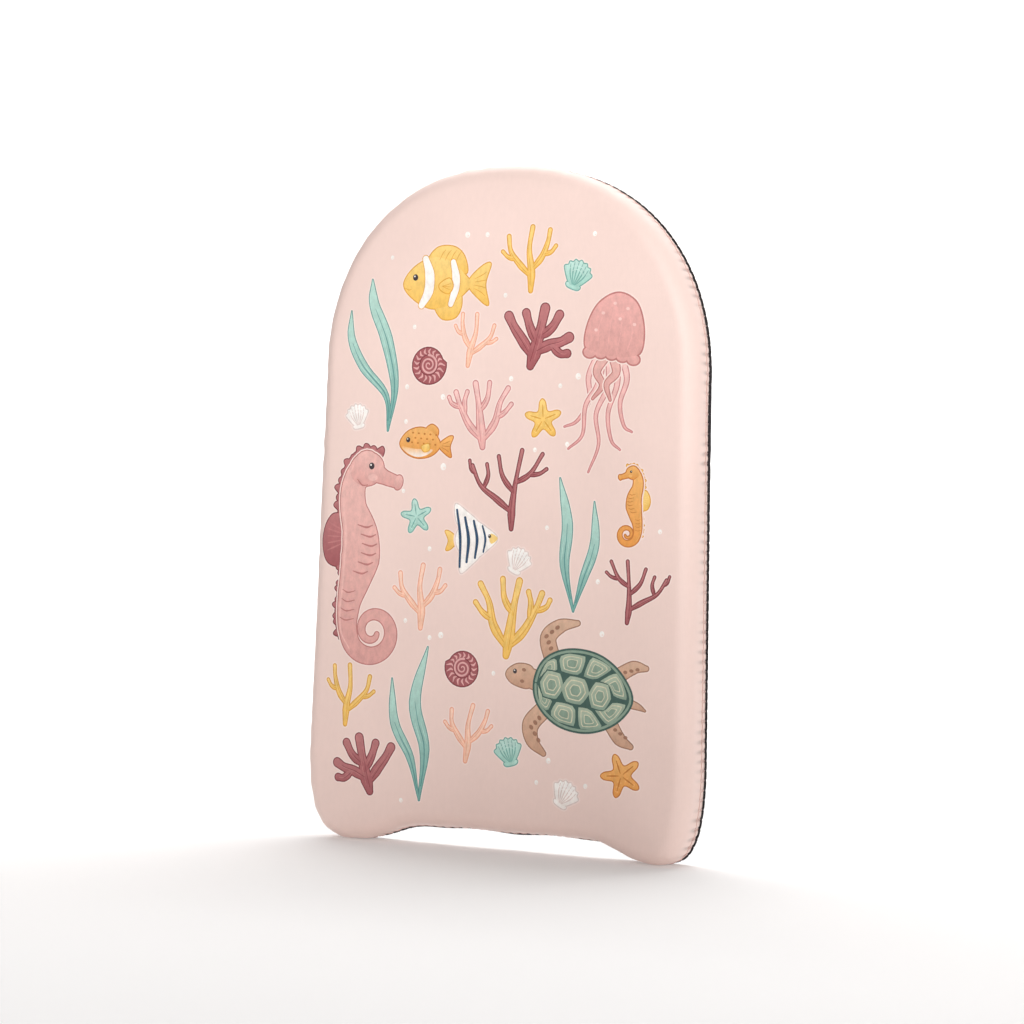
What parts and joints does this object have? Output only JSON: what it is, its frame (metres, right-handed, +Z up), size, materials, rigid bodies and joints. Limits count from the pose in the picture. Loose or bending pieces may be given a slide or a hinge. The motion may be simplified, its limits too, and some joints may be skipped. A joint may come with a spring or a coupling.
{
  "type": "kickboard float",
  "caption": "Arched foam kickboard in a sewn fabric cover, with a printed front and rim, a plain dark back and a shallow notch in its base.",
  "frame": {"origin": "under the middle of the board, level with the lowest points of the two lobes it stands on", "axes": "+Z up from the base to the arched top, +X across the width, -Y out of the printed front and +Y out of the dark back"},
  "size_m": [0.27, 0.033, 0.43],
  "materials": {
    "foam": "closed-cell polyethylene foam, matte white",
    "printed_fabric": "smooth printed polyester knit on a thin sponge backing",
    "dark_fabric": "plain near-black polyester knit on a thin sponge backing",
    "pink_thread": "spun polyester overlock thread",
    "dark_thread": "spun polyester overlock thread"
  },
  "bodies": {
    "root": {"foam_core": "foam", "front_cover": "printed_fabric", "back_cover": "dark_fabric", "needle_thread": "pink_thread", "upper_looper_thread": "pink_thread", "lower_looper_thread": "dark_thread"}
  },
  "joints": []
}
